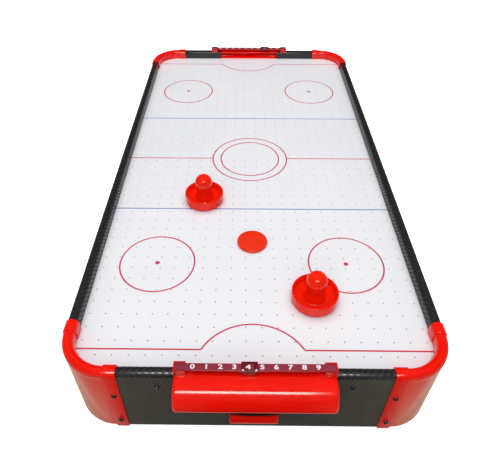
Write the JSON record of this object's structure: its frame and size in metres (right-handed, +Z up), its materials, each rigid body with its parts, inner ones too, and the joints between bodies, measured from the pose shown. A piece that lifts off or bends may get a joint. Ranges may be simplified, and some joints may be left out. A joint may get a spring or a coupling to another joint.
{
  "type": "air hockey table",
  "caption": "Tabletop air hockey table: carbon-look box with a perforated rink, rounded corner mouldings, goal hoods with puck trays, sliding score markers, mallets, puck and fan.",
  "frame": {"origin": "on the floor under the centre of the table", "axes": "+Y along the table's length away from the near goal, +X to the right seen from the near goal, +Z up"},
  "size_m": [0.5282, 1.0764, 0.1815],
  "materials": {
    "playfield_white": "printed semi-gloss laminate on hardboard",
    "hardboard": "dark hardboard",
    "carbon_panel": "satin carbon-look laminate on fibreboard",
    "carbon_rail": "gloss carbon-look plastic",
    "red_moulding": "gloss moulded",
    "score_bar": "semi-gloss with white numbers",
    "score_marker": "tinted gloss",
    "timber": "raw softwood",
    "black_plastic": "moulded",
    "steel": "plain",
    "switch_red": "gloss",
    "rubber": "matte",
    "black_screw": "black oxide",
    "mallet_red": "gloss moulded",
    "felt": "felt",
    "puck_red": "semi-gloss"
  },
  "bodies": {
    "table": {"playfield": "playfield_white", "bottom_panel": "hardboard", "side_panel_left": "carbon_panel", "side_panel_right": "carbon_panel", "end_panel_near": "carbon_panel", "end_panel_far": "carbon_panel", "side_rail_left": "carbon_rail", "side_rail_right": "carbon_rail", "end_rail_near_left": "carbon_rail", "end_rail_near_right": "carbon_rail", "end_rail_far_left": "carbon_rail", "end_rail_far_right": "carbon_rail", "corner_near_left": "red_moulding", "corner_near_right": "red_moulding", "corner_far_left": "red_moulding", "corner_far_right": "red_moulding", "goal_hood_near": "red_moulding", "goal_hood_far": "red_moulding", "puck_tray_near": "red_moulding", "puck_tray_far": "red_moulding", "bar_clips_near": "red_moulding", "bar_clips_far": "red_moulding", "score_bar_near": "score_bar", "score_bar_far": "score_bar", "field_cleats": "timber", "bottom_cleats": "timber", "field_ribs": "timber", "fan_housing": "black_plastic", "fan_grille": "black_plastic", "power_inlet": "black_plastic", "switch_housing": "black_plastic", "wire_harness": "black_plastic", "fan_motor": "steel", "inlet_pin": "steel", "bottom_screws": "steel", "hood_screws": "steel", "fan_screws": "steel", "rubber_feet": "rubber", "corner_screws": "black_screw", "end_panel_screws": "black_screw", "side_panel_screws": "black_screw"},
    "score_marker_near": {"score_marker_near": "score_marker"},
    "score_marker_far": {"score_marker_far": "score_marker"},
    "fan_wheel": {"fan_impeller": "black_plastic", "fan_shaft": "steel"},
    "power_rocker": {"switch_rocker": "switch_red"},
    "left_mallet": {"mallet_left": "mallet_red", "mallet_left_felt": "felt"},
    "right_mallet": {"mallet_right": "mallet_red", "mallet_right_felt": "felt"},
    "game_puck": {"puck": "puck_red"}
  },
  "joints": [
    {"name": "near_score_slide", "type": "slide", "parent": "table", "child": "score_marker_near", "axis": [1, 0, 0], "range_m": [-0.0699, 0.0845]},
    {"name": "far_score_slide", "type": "slide", "parent": "table", "child": "score_marker_far", "axis": [-1, 0, 0], "range_m": [-0.0332, 0.1212]},
    {"name": "fan_spin", "type": "hinge", "parent": "table", "child": "fan_wheel", "pos_m": [0, 0, 0.03], "axis": [0, 0, 1], "continuous": true},
    {"name": "rocker_tilt", "type": "hinge", "parent": "table", "child": "power_rocker", "pos_m": [0.2575, 0.112, 0.06], "axis": [0, 0, 1], "range_deg": [0, 16]},
    {"name": "left_mallet_slide", "type": "slide", "parent": "table", "child": "left_mallet", "axis": [0, 1, 0], "range_m": [-0.3185, 0.5895]},
    {"name": "right_mallet_slide", "type": "slide", "parent": "table", "child": "right_mallet", "axis": [0, 1, 0], "range_m": [-0.088, 0.82]},
    {"name": "puck_slide", "type": "slide", "parent": "table", "child": "game_puck", "axis": [0, 1, 0], "range_m": [-0.2525, 0.7475]}
  ]
}
